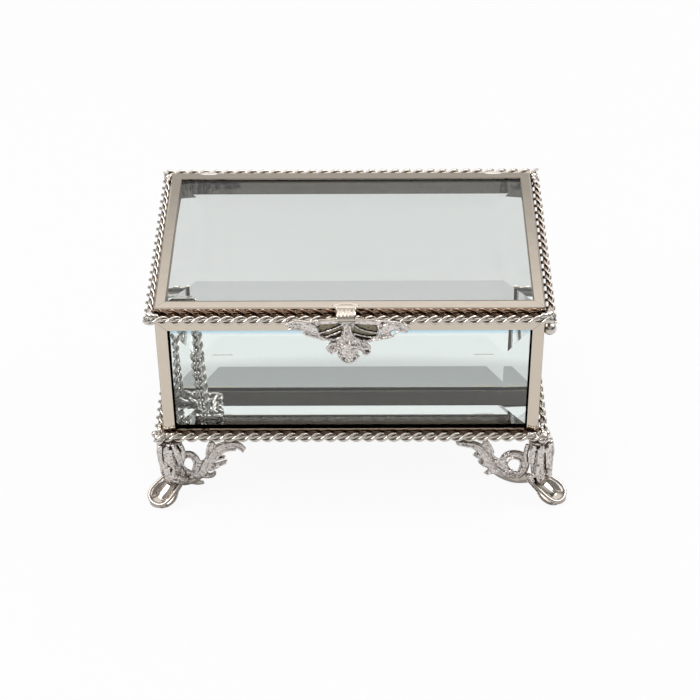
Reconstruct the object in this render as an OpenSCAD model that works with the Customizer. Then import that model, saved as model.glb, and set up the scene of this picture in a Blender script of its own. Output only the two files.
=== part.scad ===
// Glass casket box: bevelled panes in plated strips, rope trim, cast feet and a lid stay chain.
// Millimetres. +Z is up, the front looks along -Y, and the origin is on the table under the centre.

/* [Box] */
// Outside length of the box, left to right
body_w = 160; // [120:1:220]
// Outside depth of the box, front to back
body_d = 100; // [80:1:140]
// Height of the box body, without the feet and the lid
body_h = 63; // [50:1:90]
// Height of the cast feet
foot_h = 31; // [24:1:36]
// Thickness of the lid frame
lid_h = 6.9; // [6.5:0.1:9]
// Gap between the closed lid and the body
lid_gap = 0.1; // [0.05:0.05:0.3]

/* [Metal strips] */
// Width of the strip that borders each pane
strip_w = 4.8; // [4:0.1:6]
// Height of the strip round the bottom of the body
base_strip_h = 4.8; // [4.6:0.1:7]
// Thickness of a wall over its two strips
wall_t = 5; // [4.9:0.1:6]
// Thickness of the strip metal
sheet_t = 0.5; // [0.4:0.05:0.6]
// Width of each leg of the narrow strip inside a corner
inner_post_w = 1.1; // [0.9:0.1:4]

/* [Glass and mirror] */
// Full thickness of a glass pane
glass_t = 4.4; // [4:0.1:4.4]
// Thickness left at the edge of a pane
edge_t = 1.8; // [1.6:0.1:2.8]
// Width of the bevel seen beside the upright strips
bevel_side = 11.2; // [6:0.1:14]
// Width of the bevel seen along the top and bottom of a wall
bevel_wall = 13; // [6:0.1:16]
// Width of the bevel seen along the front and back of the lid
bevel_lid = 17; // [8:0.1:20]
// Thickness of the metal plate under the mirror
plate_t = 0.6; // [0.5:0.1:1]
// Thickness of the mirror that makes the floor
mirror_t = 3; // [2:0.1:3.2]

/* [Rope trim] */
// Outside diameter of the twisted rope
rope_d = 4; // [3.2:0.1:4.2]
// Thickness of the solder between the rope and the strip behind it
solder_t = 0.5; // [0.2:0.1:0.8]
// Depth of the rope's middle below the top of the lid, at the front and the sides
rope_drop = 4.5; // [4.2:0.1:4.8]
// Depth of the back rope's middle below the top of the lid, over the hinges
back_rope_drop = 2; // [1.6:0.1:2.4]

/* [Feet] */
// How far the toe's middle lies out from the corner, against the line of the second wing
toe_reach = 6; // [4.5:0.1:8]
// How far it lies out the other way, against the line of the first wing
toe_side = 2.4; // [1.5:0.1:5]
// Radius of the round toe
toe_r = 7; // [5:0.1:7.5]
// Length of a leaf wing along the body
wing_len = 36; // [30:0.5:38]
// Thickness of a leaf wing
wing_t = 2.6; // [2:0.1:3.5]

/* [Front lift] */
// Sideways place of the lift from the middle
lift_x = -0.7; // [-4:0.1:4]
// Half the length of the lift over its side leaves
lift_half = 25; // [24:0.5:30]
// Thickness of the cast lift
lift_t = 1.8; // [1.4:0.1:2.4]

/* [Hinges] */
// Distance of each hinge from the middle
hinge_x = 63.5; // [45:0.5:66]
// Length of a hinge
hinge_w = 9.6; // [8:0.1:14]
// Outside radius of a hinge knuckle
knuckle_r = 1.9; // [1.7:0.05:1.9]
// Radius of the hinge pin
pin_r = 0.8; // [0.6:0.05:1]
// Clearance between the pin and its bore
pin_clear = 0.05; // [0.03:0.01:0.08]

/* [Chain] */
// Wire diameter of a chain link
wire_d = 1.1; // [0.8:0.05:1.2]
// Width of a chain link
link_w = 4.8; // [4.4:0.1:5.2]
// Number of links in the strand that hangs from the lid
links_down = 11; // [9:2:15]
// Number of links in the strand that rises to the wall
links_up = 10; // [9:1:10]
// Depth of the lid's chain eye behind the front of the box
eye_depth = 14; // [12:0.5:30]
// Distance of the lid's chain eye from the left side of the box
eye_side = 14.6; // [13:0.1:20]

/* [Hidden] */

// Fineness of the round metal parts
$fn = 48;
metal = [0.80, 0.77, 0.73];
casting = [0.86, 0.84, 0.81];
glass = [0.80, 0.88, 0.86, 0.35];
silvered = [0.70, 0.74, 0.76];

half_w = body_w / 2;
half_d = body_d / 2;
body_top = foot_h + body_h;
lid_bottom = body_top + lid_gap;
lid_top = lid_bottom + lid_h;
inner_w = half_w - wall_t;
inner_d = half_d - wall_t;
open_bottom = foot_h + base_strip_h;
open_top = body_top - strip_w;
mirror_top = foot_h + plate_t + mirror_t;
// A pane stops this far from the metal that holds its edge
seat = 0.1;

// Bevelled pane lying flat: its flat face is at z = 0 and the bevel rises towards z = glass_t.
// size is its length and width, and flat is the length and width inside the bevel.
module bevelled_pane(size, flat) {
    hull() {
        translate([-size.x / 2, -size.y / 2, 0]) cube([size.x, size.y, edge_t]);
        translate([-flat.x / 2, -flat.y / 2, 0]) cube([flat.x, flat.y, glass_t]);
    }
}

wall_pane_h = body_h - 2 * sheet_t - 2 * seat;
wall_flat_h = open_top - open_bottom - 2 * bevel_wall;
// The bevel of a wall is centred on its opening, which lies above the middle of the pane
flat_lift = (open_top + open_bottom) / 2 - (foot_h + body_top) / 2;
front_pane_w = body_w - 2 * sheet_t - 2 * seat;
side_pane_w = 2 * (inner_d + sheet_t - seat);
// Inner face of the glass, measured from the middle of the box
glass_in_y = inner_d + sheet_t;
glass_in_x = inner_w + sheet_t;

// Wall pane that stands at the distance out from the middle, bevel outwards, before it is turned
module wall_pane(width, out, flat_w) {
    middle = (foot_h + body_top) / 2;
    translate([0, -out, middle]) rotate([90, 0, 0]) hull() {
        translate([-width / 2, -wall_pane_h / 2, 0]) cube([width, wall_pane_h, edge_t]);
        translate([-flat_w / 2, flat_lift - wall_flat_h / 2, 0]) cube([flat_w, wall_flat_h, glass_t]);
    }
}
front_flat_w = body_w - 2 * strip_w - 2 * bevel_side;
side_flat_w = body_d - 2 * strip_w - 2 * bevel_side;
module front_pane() { color(glass) wall_pane(front_pane_w, glass_in_y, front_flat_w); }
module back_pane() { color(glass) rotate(180) wall_pane(front_pane_w, glass_in_y, front_flat_w); }
module left_pane() { color(glass) rotate(-90) wall_pane(side_pane_w, glass_in_x, side_flat_w); }
module right_pane() { color(glass) rotate(90) wall_pane(side_pane_w, glass_in_x, side_flat_w); }

// The mirror lies on its plate, inside the bottom strips
module mirror_base() {
    color(silvered) translate([-inner_w + seat, -inner_d + seat, foot_h + plate_t])
        cube([2 * (inner_w - seat), 2 * (inner_d - seat), mirror_t]);
}
module base_plate() {
    color(metal) translate([-inner_w, -inner_d, foot_h]) cube([2 * inner_w, 2 * inner_d, plate_t]);
}

// Plan of a strip whose ends are mitred to the box's corners: length at the outside, and depth inwards
module mitre_plan(length, depth) {
    polygon([[-length / 2, 0], [length / 2, 0], [length / 2 - depth, depth], [-length / 2 + depth, depth]]);
}

// A strip along X whose outer face is at y = 0, cut to the mitre in plan
module mitred_strip(length, depth, low, high) {
    intersection() {
        children();
        translate([0, 0, low - 1]) linear_extrude(high - low + 2) mitre_plan(length, depth);
    }
}

// Profile of the top strip, an upside-down U over the pane: y inwards, z up
module top_profile() {
    translate([0, body_top - sheet_t]) square([wall_t, sheet_t]);
    translate([0, open_top]) square([sheet_t, strip_w]);
    translate([wall_t - sheet_t, open_top]) square([sheet_t, strip_w]);
}
// Profile of the bottom strip, a U under the pane
module bottom_profile() {
    translate([0, foot_h]) square([wall_t, sheet_t]);
    translate([0, foot_h]) square([sheet_t, base_strip_h]);
    translate([wall_t - sheet_t, foot_h]) square([sheet_t, base_strip_h]);
}
// Turns a profile drawn in y and z into a bar along X
module bar_along_x(length) {
    rotate([90, 0, 90]) translate([0, 0, -length / 2]) linear_extrude(length) children();
}
// The face of a top strip is mitred to the posts too
module top_strip(length) {
    intersection() {
        mitred_strip(length, wall_t, open_top, body_top) bar_along_x(length) top_profile();
        translate([0, wall_t + 1, 0]) rotate([90, 0, 0]) linear_extrude(wall_t + 2)
            polygon([
                [-length / 2, body_top], [length / 2, body_top],
                [length / 2 - strip_w, open_top], [-length / 2 + strip_w, open_top]
            ]);
    }
}
module bottom_strip(length) {
    mitred_strip(length, wall_t, foot_h, open_bottom) bar_along_x(length) bottom_profile();
}
module at_front() { translate([0, -half_d, 0]) children(); }
module at_back() { rotate(180) translate([0, -half_d, 0]) children(); }
module at_left() { rotate(-90) translate([0, -half_w, 0]) children(); }
module at_right() { rotate(90) translate([0, -half_w, 0]) children(); }

module top_strip_front() { color(metal) at_front() top_strip(body_w); }
module top_strip_back() { color(metal) at_back() top_strip(body_w); }
module top_strip_left() { color(metal) at_left() top_strip(body_d); }
module top_strip_right() { color(metal) at_right() top_strip(body_d); }
module bottom_strip_front() { color(metal) at_front() bottom_strip(body_w); }
module bottom_strip_back() { color(metal) at_back() bottom_strip(body_w); }
module bottom_strip_left() { color(metal) at_left() bottom_strip(body_d); }
module bottom_strip_right() { color(metal) at_right() bottom_strip(body_d); }

// Puts a piece drawn for the front left corner, as if the corner were at the origin with the box
// towards +X and +Y, at a corner given by its signs
module at_corner(side_x, side_y) {
    translate([side_x * half_w, side_y * half_d, 0])
        mirror([side_x > 0 ? 1 : 0, 0, 0]) mirror([0, side_y > 0 ? 1 : 0, 0]) children();
}
// Outer corner post: a strip folded to a right angle over the edges of two panes, mitred at the top
module outer_post() {
    intersection() {
        translate([0, 0, open_bottom]) linear_extrude(body_h - base_strip_h) union() {
            square([strip_w, sheet_t]);
            square([sheet_t, strip_w]);
        }
        // The slope meets the mitred faces of both top strips
        intersection() {
            translate([0, strip_w + 1, 0]) rotate([90, 0, 0]) linear_extrude(strip_w + 2) post_face();
            translate([-1, 0, 0]) rotate([90, 0, 90]) linear_extrude(strip_w + 2) post_face();
        }
    }
}
// Elevation of a post's face: the mitre rises towards the corner
module post_face() {
    polygon([[0, foot_h], [strip_w, foot_h], [strip_w, open_top], [0, body_top]]);
}
// Inner corner post: a narrow folded strip inside the corner, between the top and bottom strips
module inner_post() {
    translate([wall_t, wall_t, open_bottom]) linear_extrude(open_top - open_bottom) union() {
        translate([-sheet_t, -sheet_t]) square([inner_post_w, sheet_t]);
        translate([-sheet_t, -sheet_t]) square([sheet_t, inner_post_w]);
    }
}
module outer_post_front_left() { color(metal) at_corner(-1, -1) outer_post(); }
module outer_post_front_right() { color(metal) at_corner(1, -1) outer_post(); }
module outer_post_back_left() { color(metal) at_corner(-1, 1) outer_post(); }
module outer_post_back_right() { color(metal) at_corner(1, 1) outer_post(); }
module inner_post_front_left() { color(metal) at_corner(-1, -1) inner_post(); }
module inner_post_front_right() { color(metal) at_corner(1, -1) inner_post(); }
module inner_post_back_left() { color(metal) at_corner(-1, 1) inner_post(); }
module inner_post_back_right() { color(metal) at_corner(1, 1) inner_post(); }

// Rope trim as plain rod on a bead of solder against the outer faces, mitred at the corners
rope_r = rope_d / 2;
rope_reach = rope_d + solder_t;
bead_h = 1.6;
// Height of the base rope's underside over the bottom of the body
base_rope_lift = 0.4;
base_rope_z = foot_h + base_rope_lift + rope_r;
lid_rope_z = lid_top - rope_drop;
back_rope_z = lid_top - back_rope_drop;
module rope_run(length, height) {
    full = length + 2 * rope_reach;
    intersection() {
        translate([-full / 2, 0, height]) union() {
            translate([0, -solder_t - rope_r, 0]) rotate([0, 90, 0]) cylinder(r = rope_r, h = full);
            translate([0, -solder_t - rope_r, -bead_h / 2]) cube([full, solder_t + rope_r, bead_h]);
        }
        translate([0, -rope_reach, height - rope_d]) linear_extrude(2 * rope_d) mitre_plan(full, rope_reach);
    }
}
module base_rope_front() { color(casting) at_front() rope_run(body_w, base_rope_z); }
module base_rope_back() { color(casting) at_back() rope_run(body_w, base_rope_z); }
module base_rope_left() { color(casting) at_left() rope_run(body_d, base_rope_z); }
module base_rope_right() { color(casting) at_right() rope_run(body_d, base_rope_z); }
module lid_rope_front() { color(casting) at_front() rope_run(body_w, lid_rope_z); }
module lid_rope_left() { color(casting) at_left() rope_run(body_d, lid_rope_z); }
module lid_rope_right() { color(casting) at_right() rope_run(body_d, lid_rope_z); }
module lid_rope_back() { color(casting) at_back() rope_run(body_w, back_rope_z); }

// Lid strip: a grooved bar whose top lip covers the edge of the lid pane
lid_pane_top = lid_top - sheet_t;
ledge_drop = edge_t + (glass_t - edge_t) * (strip_w - sheet_t) / (bevel_side + strip_w - sheet_t) + 0.05;
ledge_z = lid_pane_top - ledge_drop;
module lid_profile() {
    translate([0, lid_bottom]) square([sheet_t, lid_h]);
    translate([0, lid_pane_top]) square([strip_w, sheet_t]);
    translate([0, lid_bottom]) square([strip_w, ledge_z - lid_bottom]);
}
module lid_strip(length) {
    mitred_strip(length, strip_w, lid_bottom, lid_top) bar_along_x(length) lid_profile();
}
module lid_strip_front() { color(metal) at_front() lid_strip(body_w); }
module lid_strip_back() { color(metal) at_back() lid_strip(body_w); }
module lid_strip_left() { color(metal) at_left() lid_strip(body_d); }
module lid_strip_right() { color(metal) at_right() lid_strip(body_d); }
module lid_pane() {
    size = [body_w - 2 * (sheet_t + seat), body_d - 2 * (sheet_t + seat)];
    flat = [body_w - 2 * (strip_w + bevel_side), body_d - 2 * (strip_w + bevel_lid)];
    color(glass) translate([0, 0, lid_pane_top]) mirror([0, 0, 1]) bevelled_pane(size, flat);
}

// Hinges on the back: leaves on the outer faces and three knuckles on one pin
leaf_t = 1;
// The knuckles stand off the back by this much, and their axis lies this far under the body's top
knuckle_off = 0.3;
axis_drop = 2;
axis_y = half_d + knuckle_r + knuckle_off;
axis_z = body_top - axis_drop;
knuckle_gap = 0.1;
knuckle_len = (hinge_w - 2 * knuckle_gap) / 3;
// Thickness of the web that joins a knuckle to its leaf
web_t = 1;
// Height of the lid leaf's lower edge over the underside of the lid
leaf_lift = 0.4;
// The lid leaf ends this far under the back rope
leaf_room = 0.1;
leaf_h = back_rope_z - rope_r - leaf_room - lid_bottom - leaf_lift;
// The body leaf is a low bar on the top strip, from the strip's lower edge up to the knuckles
body_leaf_h = axis_z - knuckle_r - open_top;
module knuckle(from, length) {
    difference() {
        children();
        translate([from - 1, axis_y, axis_z]) rotate([0, 90, 0])
            cylinder(r = pin_r + pin_clear, h = length + 2);
    }
}
// Solid of one knuckle with the arm to its leaf, before it is bored
module knuckle_blank(from, length, arm_low, arm_high) {
    translate([from, axis_y, axis_z]) rotate([0, 90, 0]) cylinder(r = knuckle_r, h = length);
    translate([from, axis_y - knuckle_r, arm_low]) cube([length, knuckle_r, arm_high - arm_low]);
}
module hinge_lid_leaf(place) {
    middle = place - knuckle_len / 2;
    color(metal) knuckle(middle, knuckle_len) union() {
        knuckle_blank(middle, knuckle_len, axis_z, lid_bottom + leaf_lift + web_t);
        translate([middle, half_d, lid_bottom + leaf_lift]) cube([knuckle_len, axis_y - half_d, web_t]);
        translate([place - hinge_w / 2, half_d, lid_bottom + leaf_lift]) cube([hinge_w, leaf_t, leaf_h]);
    }
}
module hinge_body_leaf(place) {
    left = place - hinge_w / 2;
    right = place + hinge_w / 2 - knuckle_len;
    color(metal) difference() {
        union() {
            for (from = [left, right]) {
                knuckle_blank(from, knuckle_len, open_top, axis_z);
                translate([from, half_d, open_top]) cube([knuckle_len, axis_y - half_d, body_leaf_h]);
            }
            translate([left, half_d, open_top]) cube([hinge_w, leaf_t, body_leaf_h]);
        }
        translate([left - 1, axis_y, axis_z]) rotate([0, 90, 0])
            cylinder(r = pin_r + pin_clear, h = hinge_w + 2);
    }
}
// The pin has a small head at each end, outside the knuckles
module hinge_pin(place) {
    head_t = 0.5;
    head_r = knuckle_r - 0.5;
    end = hinge_w / 2 + knuckle_gap;
    color(casting) {
        translate([place - end, axis_y, axis_z]) rotate([0, 90, 0]) cylinder(r = pin_r, h = 2 * end);
        for (from = [place - end - head_t, place + end])
            translate([from, axis_y, axis_z]) rotate([0, 90, 0]) cylinder(r = head_r, h = head_t);
    }
}
module hinge_body_leaf_left() { hinge_body_leaf(-hinge_x); }
module hinge_body_leaf_right() { hinge_body_leaf(hinge_x); }
module hinge_lid_leaf_left() { hinge_lid_leaf(-hinge_x); }
module hinge_lid_leaf_right() { hinge_lid_leaf(hinge_x); }
module hinge_pin_left() { hinge_pin(-hinge_x); }
module hinge_pin_right() { hinge_pin(hinge_x); }

// Ball soldered to the side of the front right post, just under the lid's rope
ball_r = 2.8;
// How far the ball's middle stands out, lies behind the front and lies under the body's top
ball_out = 2.6;
ball_back = 4;
ball_drop = 7;
module ball_stud() {
    color(casting) translate([half_w + ball_out, -half_d + ball_back, body_top - ball_drop]) difference() {
        sphere(r = ball_r);
        translate([-ball_out - ball_r, -ball_r, -ball_r]) cube([ball_r, 2 * ball_r, 2 * ball_r]);
    }
}

// Cast foot, drawn for the front left corner with the corner of the body at the origin.
// The first wing lies along +X and the second along +Y, and their leaves differ.
// How far the wings stand out from the walls
wing_y = 1.4;
// Block under the corner of the rope: its outer corner and its size
block_out = [3.4, 4.8];
block = [10.4, 11.4, 4];
// Round ankle that the block and the toe meet in
ankle = [0.8, -0.3];
ankle_r = 4.2;
ankle_z = 0.25 * foot_h;
toe_t = 2;
pad_r = toe_r - 3;
pad_h = 0.5;
// Length and height that the outlines of the wings are drawn at
drawn = [36, 31];
// Outlines: length from the corner, and height
first_edge = [
    [0, 31], [34, 31], [35.4, 29], [35.2, 26.5], [34, 23.6], [32.4, 23.8], [30.4, 25], [27.4, 25.3],
    [25, 24], [24.2, 22.6], [26, 20.8], [26.6, 18.2], [24, 16.2], [21.2, 14.3], [21, 12], [20.4, 9.6],
    [18, 8.2], [16.3, 6], [14.8, 3.8], [12.5, 3.2], [10, 4], [7, 4.4], [0, 6]
];
first_opening = [
    [7.4, 32], [18.6, 32], [18, 26], [17.6, 21.1], [15.8, 18.2], [14, 20.2], [11.2, 26], [9, 26.2], [7.5, 25]
];
second_edge = [
    [0, 31], [35.6, 31], [36, 29.2], [35.2, 27.2], [33.2, 25.8], [31.5, 27], [30.2, 27.6], [27.6, 25.3],
    [26.9, 19.4], [24.2, 15.6], [22, 12.8], [21.6, 9.3], [19.8, 8.3], [16.3, 7.1], [14.1, 5.2],
    [8.8, 4], [3.5, 3.6], [0, 5]
];
second_opening = [
    [8.2, 32], [20.6, 32], [20.2, 29], [18.3, 25.3], [17.5, 22], [16.1, 19.9], [13.4, 22], [10.7, 24.8], [8.4, 26.1]
];
module wing(edge, opening, hole_place, hole_r) {
    rotate([90, 0, 0]) mirror([0, 0, 1]) linear_extrude(wing_t)
        scale([wing_len / drawn.x, foot_h / drawn.y]) difference() {
            polygon(edge);
            polygon(opening);
            translate(hole_place) circle(r = hole_r);
        }
}
module ankle_disc() {
    translate([ankle.x, ankle.y, ankle_z]) cylinder(r = ankle_r, h = 1, $fn = 32);
}
module foot() {
    color(casting) union() {
        // Corner block under the rope corner, narrowing downwards to the ankle
        hull() {
            translate([-block_out.x, -block_out.y, foot_h - block.z]) cube(block);
            ankle_disc();
        }
        translate([0, -wing_y, 0]) wing(first_edge, first_opening, [9.5, 18.2], 2.2);
        translate([-wing_y, 0, 0]) mirror([1, -1, 0]) wing(second_edge, second_opening, [9.3, 16.5], 2.4);
        // Toe that runs out over the corner and down to the table
        hull() {
            ankle_disc();
            translate([-toe_side, -toe_reach, pad_h]) cylinder(r = toe_r, h = toe_t);
        }
        // Flat pad that the box stands on
        translate([-toe_side, -toe_reach, 0]) cylinder(r = pad_r, h = pad_h + toe_t / 2);
    }
}
// Each foot is the same casting, turned to its corner
module foot_at(side_x, side_y, turn) {
    translate([side_x * half_w, side_y * half_d, 0]) rotate(turn) foot();
}
module foot_front_left() { foot_at(-1, -1, 0); }
module foot_front_right() { foot_at(1, -1, 90); }
module foot_back_left() { foot_at(-1, 1, 270); }
module foot_back_right() { foot_at(1, 1, 180); }

// Cast lift, drawn with x from its own middle, z from the top of the lid, and its back on the rope
lift_back = -half_d - rope_reach;
module oval(width, height) {
    hull() for (side = [-1, 1])
        translate([side * (width - height) / 2, 0]) circle(d = height, $fn = 32);
}
module lift_outline() {
    difference() {
        union() {
            // Ridge bar over the two openings
            translate([-13, -4.6]) square([26, 2.4]);
            // Band round the openings
            for (side = [-1, 1]) {
                translate([side * 6.6, -8.2]) oval(15, 8.6);
                // Side leaves
                polygon([
                    [side * 11, -2.6], [side * 18, -3.4], [side * lift_half, -1.4],
                    [side * (lift_half + 1), -5], [side * (lift_half - 3), -9],
                    [side * 19, -10.6], [side * 12, -12]
                ]);
            }
            // Leaf and flower that hang below
            polygon([[-7, -10], [7, -10], [9.8, -15], [9, -19], [5.5, -20.5], [0, -25], [-5.5, -20.5],
                [-9, -19], [-9.8, -15]]);
        }
        for (side = [-1, 1]) translate([side * 6.6, -8.4]) oval(9.6, 5);
    }
}
module front_lift() {
    tab_t = 0.8;
    roll_h = rope_drop - rope_r;
    color(casting) translate([lift_x, 0, lid_top]) {
        translate([0, lift_back, 0]) rotate([90, 0, 0]) linear_extrude(lift_t) lift_outline();
        // Tab soldered on the lid's front strip
        translate([-6.7, -half_d - 1, 0]) cube([13.4, 4.4, tab_t]);
        // Rounded roll from the tab, over the rope, down to the ridge
        translate([-4.6, lift_back - lift_t, -roll_h]) cube([9.2, rope_reach + lift_t, roll_h + tab_t]);
    }
}

// Chain: rest directions of its runs. The first strand hangs from the lid's eye to the floor, one link
// lies to the right, two turn to the back, three run to the left, and the last strand rises to the wall.
eye_r = 2;
chain_play = 0.1;
eye_x = -half_w + eye_side;
eye_y = -half_d + eye_depth;
// The eye's upper wire lies above the underside of the lid by this much, in the hollow under the pane
eye_rise = 1.1;
// Middle of the eye's lower wire, where the chain starts
chain_top = lid_bottom + eye_rise - 2 * eye_r;
// The links on the floor stand on edge, just over the mirror
lay_z = mirror_top + link_w / 2 + 0.4;
slant_down = [2.8, -2];
drop = chain_top - lay_z;
strand_len = sqrt(drop * drop + slant_down.x * slant_down.x + slant_down.y * slant_down.y);
link_pitch = strand_len / links_down;
across_links = 1;
turn_links = 2;
run_links = 3;
slant_up = [0, -1.5];
rise_len = links_up * link_pitch;
rise = sqrt(rise_len * rise_len - slant_up.x * slant_up.x - slant_up.y * slant_up.y);
function unit(v) = v / norm(v);
dir_down = unit([slant_down.x, slant_down.y, -drop]);
dir_across = [1, 0, 0];
dir_turn = [0, 1, 0];
dir_run = [-1, 0, 0];
dir_up = unit([slant_up.x, slant_up.y, rise]);
chain_start = [eye_x, eye_y, chain_top];
across_start = chain_start + links_down * link_pitch * dir_down;
turn_start = across_start + across_links * link_pitch * dir_across;
run_start = turn_start + turn_links * link_pitch * dir_turn;
up_start = run_start + run_links * link_pitch * dir_run;
chain_end = up_start + rise_len * dir_up;
// Swing of the first link about X, and the bend axes between the runs
axis_first = [1, 0, 0];
axis_across = unit(cross(dir_across, dir_down));
axis_turn = unit(cross(dir_turn, dir_across));
axis_run = unit(cross(dir_run, dir_turn));
axis_up = unit(cross(dir_up, dir_run));

// One link: a loop of round wire in its own X-Y plane, from the wire's middle at x = 0 to x = long
module chain_link(long) {
    bend = (link_w - wire_d) / 2;
    straight = long - 2 * bend;
    for (side = [-1, 1])
        translate([bend, side * bend, 0]) rotate([0, 90, 0]) cylinder(d = wire_d, h = straight, $fn = 24);
    translate([bend, 0, 0]) rotate(90) rotate_extrude(angle = 180, $fn = 32)
        translate([bend, 0]) circle(d = wire_d, $fn = 24);
    translate([bend + straight, 0, 0]) rotate(-90) rotate_extrude(angle = 180, $fn = 32)
        translate([bend, 0]) circle(d = wire_d, $fn = 24);
}
// A run of links from a start point. across is the width direction of the first link.
// Each link starts a wire and its play behind its place, through the link before it,
// and turns a quarter more than that one, plus an even share of the twist.
module chain_run(start, direction, across, count, twist) {
    back = wire_d + chain_play;
    normal = cross(direction, across);
    frame = [
        [direction.x, across.x, normal.x, 0],
        [direction.y, across.y, normal.y, 0],
        [direction.z, across.z, normal.z, 0],
        [0, 0, 0, 1]
    ];
    for (i = [0 : count - 1])
        translate(start + (i * link_pitch - back) * direction) multmatrix(frame)
            rotate([90 * i + (count > 1 ? twist * i / (count - 1) : 0), 0, 0]) chain_link(link_pitch + back);
}
// Width direction of a run's first link: in the plane of the bend before it
function across_of(bend_axis, direction) = unit(cross(bend_axis, direction));
first_across = across_of(axis_first, dir_down);
// The last hanging link turns its width along the bend axis that follows
twist_down = asin(cross(first_across, axis_across) * dir_down);
module chain_strand_down() {
    color(casting) chain_run(chain_start, dir_down, first_across, links_down, twist_down);
}
module chain_link_across() {
    color(casting) chain_run(across_start, dir_across, across_of(axis_across, dir_across), across_links, 0);
}
module chain_turn() {
    color(casting) chain_run(turn_start, dir_turn, across_of(axis_turn, dir_turn), turn_links, 0);
}
module chain_run_back() {
    color(casting) chain_run(run_start, dir_run, across_of(axis_run, dir_run), run_links, 0);
}
// The last rising link lies flat beside the wall's eye, so an even strand turns a quarter more on its way
twist_up = links_up % 2 == 0 ? 90 : 0;
module chain_strand_up() {
    color(casting) chain_run(up_start, dir_up, across_of(axis_up, dir_up), links_up, twist_up);
}

// Ring of the chain's wire in the X-Z plane
module wire_ring() {
    rotate([90, 0, 0]) rotate_extrude($fn = 48) translate([eye_r, 0]) circle(d = wire_d, $fn = 24);
}
// Eye on the lid's left strip, at the end of a flat arm that lies just under the lid pane
module lid_chain_eye() {
    arm_w = 1.6;
    arm_t = 0.8;
    ring_z = chain_top + eye_r;
    arm_from = -half_w + strip_w;
    color(casting) {
        translate([eye_x, eye_y, ring_z]) wire_ring();
        translate([arm_from, eye_y - arm_w / 2, ring_z + eye_r - arm_t / 2])
            cube([eye_x - arm_from, arm_w, arm_t]);
    }
}
// Eye on the left wall's top strip. Its ring stands just in front of the chain's last link.
module body_chain_eye() {
    pad_t = 0.6;
    pad_w = 3;
    ring_x = -inner_w + pad_t + eye_r + wire_d / 2 - 0.2;
    ring_y = chain_end.y - wire_d - chain_play;
    ring_z = chain_end.z + 0.3;
    color(casting) {
        translate([ring_x, ring_y, ring_z]) wire_ring();
        translate([-inner_w, ring_y + wire_d / 2 - pad_w, ring_z - 1])
            cube([pad_t, pad_w, body_top - 0.4 - ring_z]);
    }
}

front_pane();
back_pane();
left_pane();
right_pane();
mirror_base();
base_plate();
top_strip_front();
top_strip_back();
top_strip_left();
top_strip_right();
bottom_strip_front();
bottom_strip_back();
bottom_strip_left();
bottom_strip_right();
outer_post_front_left();
outer_post_front_right();
outer_post_back_left();
outer_post_back_right();
inner_post_front_left();
inner_post_front_right();
inner_post_back_left();
inner_post_back_right();
base_rope_front();
base_rope_back();
base_rope_left();
base_rope_right();
foot_front_left();
foot_front_right();
foot_back_left();
foot_back_right();
hinge_body_leaf_left();
hinge_body_leaf_right();
hinge_pin_left();
hinge_pin_right();
ball_stud();
body_chain_eye();
lid_pane();
lid_strip_front();
lid_strip_back();
lid_strip_left();
lid_strip_right();
lid_rope_front();
lid_rope_back();
lid_rope_left();
lid_rope_right();
hinge_lid_leaf_left();
hinge_lid_leaf_right();
front_lift();
lid_chain_eye();
chain_strand_down();
chain_link_across();
chain_turn();
chain_run_back();
chain_strand_up();
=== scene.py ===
# Glass casket box: the finish of its pieces, the rope, castings and chain, and the studio round it.
import math

import bpy
import numpy
from mathutils import Matrix, Vector


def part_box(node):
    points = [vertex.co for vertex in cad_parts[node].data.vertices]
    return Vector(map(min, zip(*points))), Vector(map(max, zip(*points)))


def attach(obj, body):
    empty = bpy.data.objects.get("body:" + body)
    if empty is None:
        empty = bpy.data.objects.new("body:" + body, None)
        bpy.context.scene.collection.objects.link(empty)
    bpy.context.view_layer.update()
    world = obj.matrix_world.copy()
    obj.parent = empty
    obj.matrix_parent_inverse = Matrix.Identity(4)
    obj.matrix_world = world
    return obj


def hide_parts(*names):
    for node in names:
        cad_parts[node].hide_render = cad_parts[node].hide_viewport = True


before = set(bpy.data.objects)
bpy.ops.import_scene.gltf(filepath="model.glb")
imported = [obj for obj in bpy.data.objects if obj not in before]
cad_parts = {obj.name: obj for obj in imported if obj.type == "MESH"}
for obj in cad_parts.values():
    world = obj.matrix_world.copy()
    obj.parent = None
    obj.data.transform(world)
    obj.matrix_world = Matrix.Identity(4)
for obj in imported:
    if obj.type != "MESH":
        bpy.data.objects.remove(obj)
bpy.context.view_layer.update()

MM = 0.001

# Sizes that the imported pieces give
body_low, body_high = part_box("bottom_strip_front")
HALF_W = body_high.x
HALF_D = -body_low.y
BODY_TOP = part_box("top_strip_front")[1].z
OPEN_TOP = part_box("top_strip_front")[0].z
LID_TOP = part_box("lid_strip_front")[1].z
STRIP_W = BODY_TOP - OPEN_TOP
ROPE_R = (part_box("lid_rope_front")[1].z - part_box("lid_rope_front")[0].z) / 2
BASE_STRIP_TOP = body_high.z
SOLDER = -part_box("lid_rope_front")[0].y - HALF_D - 2 * ROPE_R

# The corners in turn from the front left one, as the signs of x and y there
CORNERS = {"front_left": (-1, -1), "front_right": (1, -1), "back_right": (1, 1), "back_left": (-1, 1)}


# Materials

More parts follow.
